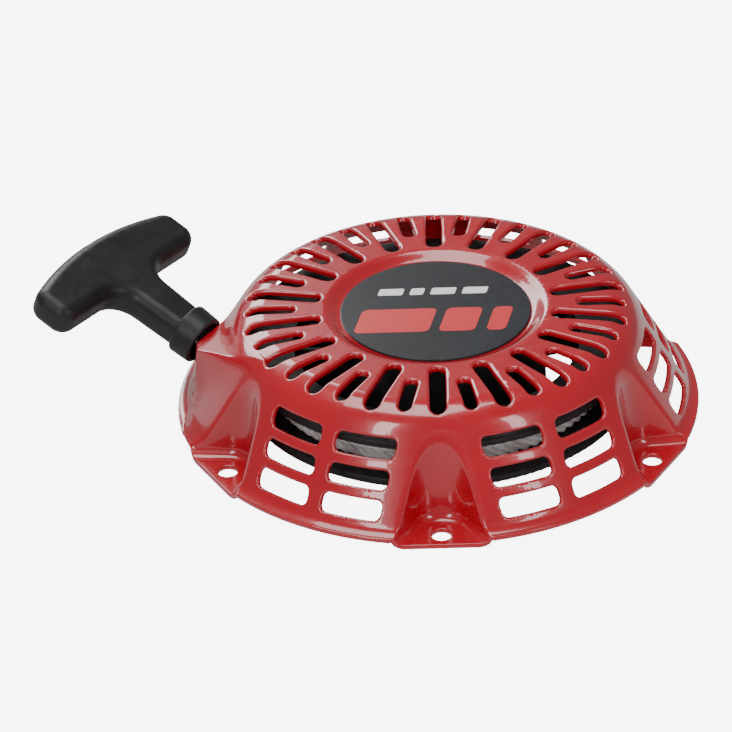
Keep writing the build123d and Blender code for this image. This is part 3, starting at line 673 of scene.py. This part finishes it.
def case_shell():
    """Lifts the plan onto the drawn form, rolls the edges of the cuts and gives the sheet its thickness."""
    plan, triangles = case_plan()
    x, y = plan.T
    base = np.stack([x, y, case_height(x, y)], 1)
    normal = case_normal(x, y)
    slot = top_slot_distance(x, y)
    drop = quarter(SLOT_ROLL, np.clip(slot, 0, None)) + np.where(slot < -LIP_STEP / 2, LIP_DROP, 0)
    cut = np.minimum(bolt_distance(x, y), bore_distance(x, y))
    drop += quarter(EDGE_ROLL, np.clip(np.minimum(rim_distance(x, y), cut), 0, None))
    drop += quarter(CUT_ROLL, np.clip(side_slot_distance(x, y), 0, None))
    outer = base - normal * drop[:, None]
    rolled = vertex_normals(outer, triangles)
    in_lip = slot < SLOT_ROLL + 0.05
    shade = np.where((drop > 1e-4)[:, None], rolled, normal)
    sheet = SHEET - (SHEET - LIP_T) * (1 - smooth((slot - SLOT_ROLL) / 3))
    inner = np.where(in_lip[:, None], outer - rolled * LIP_T, base - normal * sheet[:, None])
    return outer, inner, shade, triangles


def case_mesh():
    """The case as one closed sheet: outer and inner face joined by walls along every cut."""
    outer, inner, shade, triangles = case_shell()
    count = len(outer)
    sides = np.concatenate([triangles[:, [0, 1]], triangles[:, [1, 2]], triangles[:, [2, 0]]])
    keys = np.sort(sides, axis=1)
    _, first, uses = np.unique(keys, axis=0, return_index=True, return_counts=True)
    border = sides[first[uses == 1]]
    walls = np.stack([border[:, 1], border[:, 0], border[:, 0] + count, border[:, 1] + count], 1)
    points = np.concatenate([outer, inner])
    under = vertex_normals(inner, triangles[:, ::-1])
    wall_face = np.cross(points[walls[:, 1]] - points[walls[:, 0]], points[walls[:, 2]] - points[walls[:, 0]])
    wall_normal = np.zeros_like(points)
    for corner in range(4):
        np.add.at(wall_normal, walls[:, corner], wall_face)
    wall_normal /= np.clip(np.linalg.norm(wall_normal, axis=1), 1e-9, None)[:, None]
    mesh = bpy.data.meshes.new("case_shell")
    faces = triangles.tolist() + (triangles[:, ::-1] + count).tolist() + walls.tolist()
    mesh.from_pydata((points * MM).tolist(), [], faces)
    loops = np.concatenate([shade[triangles.ravel()], under[triangles[:, ::-1].ravel()],
                            wall_normal[walls.ravel()]])
    mesh.polygons.foreach_set("use_smooth", [True] * len(faces))
    mesh.normals_split_custom_set(loops.tolist())
    mesh.materials.append(RED)
    shell = bpy.data.objects.new("case_shell", mesh)
    bpy.context.scene.collection.objects.link(shell)
    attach(shell, "case")
    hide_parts("starter_case")


case_mesh()


# ---------------------------------------------------------------- rope

ROPE_R = 2.2 * MM
LAY = 13.0 * MM
STRANDS = 3
STRAND_R = ROPE_R / 2.155
STRAND_OFFSET = ROPE_R - STRAND_R


def path_frames(path, closed=False):
    """Tangent and two steady normals along a path of points."""
    if closed:
        tangent = np.roll(path, -1, axis=0) - np.roll(path, 1, axis=0)
    else:
        tangent = np.gradient(path, axis=0)
    tangent /= np.linalg.norm(tangent, axis=1)[:, None]
    normal = np.zeros_like(path)
    first = np.cross(tangent[0], (0.0, 0.0, 1.0))
    normal[0] = first / np.linalg.norm(first)
    for step in range(1, len(path)):
        carried = normal[step - 1] - tangent[step] * (normal[step - 1] @ tangent[step])
        normal[step] = carried / np.linalg.norm(carried)
    return tangent, normal, np.cross(tangent, normal)


def cord_mesh(name, path, twist, sides=9, scale=1.0, closed=False):
    """Three-strand cord along a path; twist is how far the strands have turned at each point."""
    tangent, normal, binormal = path_frames(path, closed)
    if closed:
        drift = np.arctan2(normal[-1] @ binormal[0], normal[-1] @ normal[0])
        ease = -drift * np.arange(len(path)) / (len(path) - 1)
        turned = np.cos(ease)[:, None] * normal + np.sin(ease)[:, None] * binormal
        normal, binormal = turned, np.cross(tangent, turned)
    around = np.arange(sides) * 2 * pi / sides
    count = len(path)
    run = np.concatenate([[0], np.cumsum(np.linalg.norm(np.diff(path, axis=0), axis=1))]) / LAY
    ring = (np.cos(around)[None, :, None] * normal[:, None, :]
            + np.sin(around)[None, :, None] * binormal[:, None, :])
    vertices, faces, uv = [], [], []
    for strand in range(STRANDS):
        turn = twist + strand * 2 * pi / STRANDS
        sideways = np.cos(turn)[:, None] * normal + np.sin(turn)[:, None] * binormal
        centre = path + STRAND_OFFSET * scale * sideways
        vertices.append((centre[:, None, :] + STRAND_R * 1.06 * scale * ring).reshape(-1, 3))
        base = strand * count * sides
        for step in range(count if closed else count - 1):
            low, high = base + step * sides, base + (step + 1) % count * sides
            here, there = run[step], run[step] + (run[1] - run[0])
            for side in range(sides):
                after = (side + 1) % sides
                faces.append((low + side, low + after, high + after, high + side))
                left, right = side / sides, (side + 1) / sides
                uv += [(left, here), (right, here), (right, there), (left, there)]
        if not closed:
            for end in (0, count - 1):
                cap = [base + end * sides + side for side in range(sides)]
                faces.append(tuple(cap) if end else tuple(reversed(cap)))
                uv += [(side / sides, run[end]) for side in range(sides)]
    mesh = bpy.data.meshes.new(name)
    mesh.from_pydata(np.concatenate(vertices).tolist(), [], faces)
    mesh.uv_layers.new(name="yarn").data.foreach_set("uv", np.array(uv, float).ravel())
    mesh.polygons.foreach_set("use_smooth", [True] * len(mesh.polygons))
    mesh.materials.append(CORD)
    piece = bpy.data.objects.new(name, mesh)
    bpy.context.scene.collection.objects.link(piece)
    return piece


coil_low, coil_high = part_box("wound_rope")
COIL_R = coil_high.x - ROPE_R - 1.8 * MM
WRAP_R = COIL_R + 1.72 * ROPE_R
ROWS = 3
row_z = np.linspace(coil_low.z + ROPE_R, coil_high.z - ROPE_R, ROWS)


def wound_turns():
    """The turns left on the reel, as closed rings side by side."""
    rings = []
    for row, height in enumerate(row_z):
        length = 2 * pi * COIL_R
        count = int(length / (0.9 * MM))
        angle = np.arange(count) * 2 * pi / count
        path = np.stack([COIL_R * np.cos(angle), COIL_R * np.sin(angle), np.full(count, height)], 1)
        turns = round(length / LAY)
        rings.append(cord_mesh(f"rope_turn_{row + 1}", path, angle * turns + row * 0.7, closed=True))
    for ring in rings:
        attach(ring, "reel")
    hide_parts("wound_rope")


def running_rope():
    """The last turn on the reel, the run to the guide and the length inside the grip, in one cord.
    The strands in the grip are laid as they will look when the cord is pulled out straight."""
    pull = np.array(joint("grip_pull")["axis"])
    travel = joint("grip_pull")["range_m"][1]
    ferrule = middle("grip_ferrule")
    bush = middle("rope_guide")
    bend = ferrule + pull * ((bush - ferrule) @ pull)
    reach = np.hypot(bend[0], bend[1])
    leave = np.arctan2(bend[1], bend[0]) + np.arccos(WRAP_R / reach)
    wrap = np.linspace(leave + radians(215), leave, 420)
    sink = np.clip((wrap - leave - radians(180)) / radians(35), 0, 1)
    radius = WRAP_R - (WRAP_R - COIL_R) * sink ** 2
    turn = np.stack([radius * np.cos(wrap), radius * np.sin(wrap), np.full(len(wrap), row_z[-1])], 1)
    start = turn[-1]
    inward = (bend - start) / np.linalg.norm(bend - start)
    corner = 7 * MM
    share = np.linspace(0, 1, 14)[:, None]
    near, far = bend - inward * corner, bend + pull * corner
    curve = (1 - share) ** 2 * near + 2 * share * (1 - share) * bend + share ** 2 * far
    run_in = np.linspace(start, near, 60)[1:-1]
    begin = bend + pull * 9 * MM
    finish = ferrule - pull * 1 * MM
    span = (finish - begin) @ pull
    count = int((travel + span) / (1.4 * MM))
    share = np.linspace(0, 1, 4001)
    stretched = share * span + (3 * share ** 2 - 2 * share ** 3) * travel
    place = np.interp(np.linspace(0, stretched[-1], count), stretched, share)
    hidden = begin + place[:, None] * span * pull
    path = np.concatenate([turn, run_in, curve, np.linspace(far, begin, 3)[1:-1], hidden])
    along = np.concatenate([[0], np.cumsum(np.linalg.norm(np.diff(path, axis=0), axis=1))])
    laid = along.copy()
    laid[-count:] += (3 * place ** 2 - 2 * place ** 3) * travel
    cord = cord_mesh("rope_running", path, 2 * pi * laid / LAY)
    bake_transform(cord)
    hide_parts("rope_lead")


def tied_knot(name, stands_for, body, along, size):
    """Overhand knot drawn up tight: a trefoil of cord around the rope's line."""
    count = 220
    t = np.arange(count) * 2 * pi / count
    loop = np.stack([np.sin(t) + 2 * np.sin(2 * t), np.cos(t) - 2 * np.cos(2 * t), -1.5 * np.sin(3 * t)], 1)
    along = np.array(along) / np.linalg.norm(along)
    side = np.cross(along, (0, 0, 1.0))
    side /= np.linalg.norm(side)
    basis = np.stack([side, np.cross(along, side), along])
    cord_scale = size * 0.2 / ROPE_R
    path = middle(stands_for) + loop / 3.0 * (size / 2 - cord_scale * ROPE_R) @ basis
    length = np.linalg.norm(np.diff(path, axis=0), axis=1).sum()
    knot = cord_mesh(name, path, t * round(length / LAY / cord_scale), sides=8, scale=cord_scale, closed=True)
    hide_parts(stands_for)
    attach(knot, body)


wound_turns()
running_rope()
hole = middle("reel_knot")
tied_knot("reel_rope_knot", "reel_knot", "reel", (hole[0], hole[1], 0), 7.6 * MM)
tied_knot("grip_rope_knot", "grip_knot", "grip", joint("grip_pull")["axis"], 8.6 * MM)


# ---------------------------------------------------------------- badge graphic

def inlay(name, outlines, ink, lift=0.05 * MM):
    """Thin printed shapes on the badge, from counterclockwise plan outlines in millimetres."""
    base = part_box("case_badge")[1].z
    vertices, faces = [], []
    for outline in outlines:
        count = len(outline)
        low = range(len(vertices), len(vertices) + count)
        high = range(low.stop, low.stop + count)
        vertices += [(x * MM, y * MM, base + height) for height in (0, lift) for x, y in outline]
        faces += [tuple(high), tuple(reversed(low))]
        for here in range(count):
            after = (here + 1) % count
            faces.append((low[here], low[after], high[after], high[here]))
    mesh = bpy.data.meshes.new(name)
    mesh.from_pydata(vertices, [], faces)
    mesh.materials.append(ink)
    piece = bpy.data.objects.new(name, mesh)
    bpy.context.scene.collection.objects.link(piece)
    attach(piece, "case")


def slanted(x, y, width, height, corner, lean=0.22):
    """Rounded slanted box outline about a middle point."""
    points = []
    for sx, sy, start in ((1, 1, 0), (-1, 1, 90), (-1, -1, 180), (1, -1, 270)):
        for step in range(5):
            angle = radians(start + 22.5 * step)
            px = sx * (width / 2 - corner) + corner * cos(angle)
            py = sy * (height / 2 - corner) + corner * sin(angle)
            points.append((x + px + lean * py, y + py))
    return points


DASHES = ((-16.0, 9.0), (-6.5, 5.0), (3.0, 9.0), (14.5, 9.0))
BARS = ((-14.5, 27.0), (9.0, 13.0), (23.0, 7.0))
inlay("badge_dashes", [slanted(x, 13.0, width, 4.6, 0.8) for x, width in DASHES], WHITE_INK)
inlay("badge_bars", [slanted(x, -7.0, width, 16.0, 2.2) for x, width in BARS], RED_INK)


# ---------------------------------------------------------------- stage

FLOOR_GLOW = 7.0


def plain_floor():
    """Pale floor that shows white to the camera and is clear from below, so the underside can be seen."""
    mesh = bpy.data.meshes.new("floor")
    half = 4.0
    corners = [(-half, -half, 0), (half, -half, 0), (half, half, 0), (-half, half, 0)]
    mesh.from_pydata(corners, [], [(0, 1, 2, 3)])
    floor = bpy.data.objects.new("floor", mesh)
    bpy.context.scene.collection.objects.link(floor)
    floor.location.z = cad_box[0].z - 0.2 * MM
    material, tree, shader = new_material("pale_floor")
    tone = ramp(tree, noise(tree, 3, 2).outputs["Fac"],
                [(0.3, (0.52, 0.52, 0.52)), (0.7, (0.55, 0.55, 0.55))])
    tree.links.new(tone.outputs["Color"], shader.inputs["Base Color"])
    shader.inputs["Roughness"].default_value = 0.9
    shader.inputs["Specular IOR Level"].default_value = 0.0
    shader.inputs["Emission Color"].default_value = (1, 1, 1, 1)
    seen = tree.nodes.new("ShaderNodeLightPath")
    glow = node(tree, "ShaderNodeMath")
    glow.operation = "MULTIPLY"
    tree.links.new(seen.outputs["Is Camera Ray"], glow.inputs[0])
    glow.inputs[1].default_value = FLOOR_GLOW
    tree.links.new(glow.outputs["Value"], shader.inputs["Emission Strength"])
    side = tree.nodes.new("ShaderNodeNewGeometry")
    through = tree.nodes.new("ShaderNodeMath")
    through.operation = "MAXIMUM"
    tree.links.new(side.outputs["Backfacing"], through.inputs[0])
    tree.links.new(seen.outputs["Is Shadow Ray"], through.inputs[1])
    clear = tree.nodes.new("ShaderNodeBsdfTransparent")
    either = tree.nodes.new("ShaderNodeMixShader")
    tree.links.new(through.outputs["Value"], either.inputs["Fac"])
    tree.links.new(shader.outputs["BSDF"], either.inputs[1])
    tree.links.new(clear.outputs["BSDF"], either.inputs[2])
    output = next(found for found in tree.nodes if found.type == "OUTPUT_MATERIAL")
    tree.links.new(either.outputs["Shader"], output.inputs["Surface"])
    mesh.materials.append(material)


def softbox(name, place, width, height, power, target=(0, 0, 0.03), mirrored=True):
    """Rectangular studio light aimed at a point; one that isn't mirrored only fills."""
    light = bpy.data.lights.new(name, "AREA")
    light.shape = "RECTANGLE"
    light.size, light.size_y = width, height
    light.energy = power
    lamp = bpy.data.objects.new(name, light)
    bpy.context.scene.collection.objects.link(lamp)
    lamp.location = place
    lamp.visible_glossy = mirrored
    lamp.rotation_euler = (Vector(target) - Vector(place)).to_track_quat("-Z", "Y").to_euler()


plain_floor()
world = bpy.data.worlds.new("studio")
bpy.context.scene.world = world
world.use_nodes = True
world.node_tree.nodes["Background"].inputs["Color"].default_value = (1, 1, 1, 1)
world.node_tree.nodes["Background"].inputs["Strength"].default_value = 0.21
softbox("overhead", (-0.2, 0.1, 1.5), 0.9, 0.9, 15)
softbox("back_left", (-0.62, 1.25, 0.85), 1.0, 0.7, 15)
softbox("front_left", (-0.7, -1.2, 0.9), 0.25, 0.9, 7)
softbox("front_right", (0.9, -1.0, 0.8), 0.2, 0.8, 4)
softbox("front_fill", (0.05, -1.25, 0.62), 0.3, 0.3, 5, mirrored=False)
softbox("below", (0.15, -0.3, -1.0), 0.8, 0.8, 9, mirrored=False)

CAMERA_AT = Vector((0.00175, -1.2271, 0.7800))
CAMERA_AZIMUTH = radians(1.289)
CAMERA_DIP = radians(31.87)
CAMERA_ROLL = radians(2.27)
camera_data = bpy.data.cameras.new("camera")
camera_data.lens = 195.5
camera_data.sensor_width = 36.0
camera_data.clip_start, camera_data.clip_end = 0.05, 30
camera = bpy.data.objects.new("camera", camera_data)
bpy.context.scene.collection.objects.link(camera)
right = Vector((cos(CAMERA_AZIMUTH), sin(CAMERA_AZIMUTH), 0))
level = cos(CAMERA_DIP)
ahead = Vector((-sin(CAMERA_AZIMUTH) * level, cos(CAMERA_AZIMUTH) * level, -sin(CAMERA_DIP)))
upward = right.cross(ahead)
rolled_right = right * cos(CAMERA_ROLL) - upward * sin(CAMERA_ROLL)
rolled_up = right * sin(CAMERA_ROLL) + upward * cos(CAMERA_ROLL)
camera.matrix_world = Matrix((
    (rolled_right.x, rolled_up.x, -ahead.x, CAMERA_AT.x),
    (rolled_right.y, rolled_up.y, -ahead.y, CAMERA_AT.y),
    (rolled_right.z, rolled_up.z, -ahead.z, CAMERA_AT.z),
    (0, 0, 0, 1)))
bpy.context.scene.camera = camera
